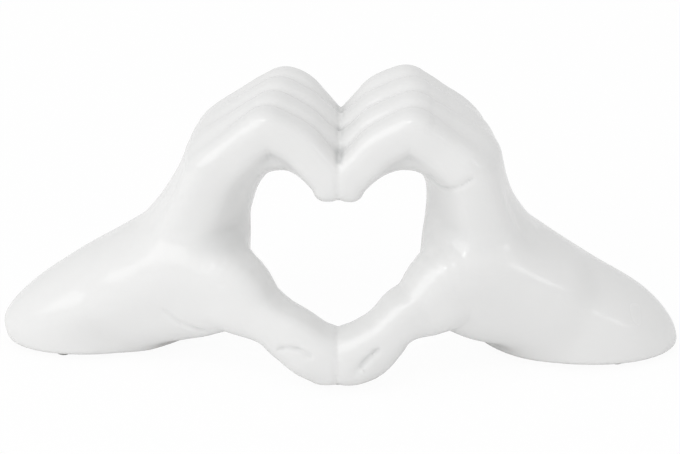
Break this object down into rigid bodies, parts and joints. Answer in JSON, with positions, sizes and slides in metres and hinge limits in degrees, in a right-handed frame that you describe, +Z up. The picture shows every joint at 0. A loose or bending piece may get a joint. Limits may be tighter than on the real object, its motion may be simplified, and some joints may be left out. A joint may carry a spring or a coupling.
{
  "type": "ceramic hand sculpture",
  "caption": "White glazed ceramic ornament of two hands whose curled fingers and thumbs meet to frame a heart-shaped opening, resting on the cut ends of the wrists.",
  "frame": {"origin": "centre of the footprint on the table, at the flat bottoms of the feet", "axes": "+Z up, +X along the pair of hands from the left one in the picture to the right one, -Y towards the viewer; the seam where the two hands meet is the plane X = 0"},
  "size_m": [0.3406, 0.0921, 0.1449],
  "materials": {
    "glaze": "glossy white glaze",
    "bare_clay": "matt unglazed earthenware",
    "bumper": "clear soft bumper"
  },
  "bodies": {
    "root": {"left_hand": "glaze", "right_hand": "glaze", "left_base_plate": "bare_clay", "right_base_plate": "bare_clay", "left_front_foot": "bumper", "left_back_foot": "bumper", "right_front_foot": "bumper", "right_back_foot": "bumper", "thumb_foot": "bumper"}
  },
  "joints": []
}
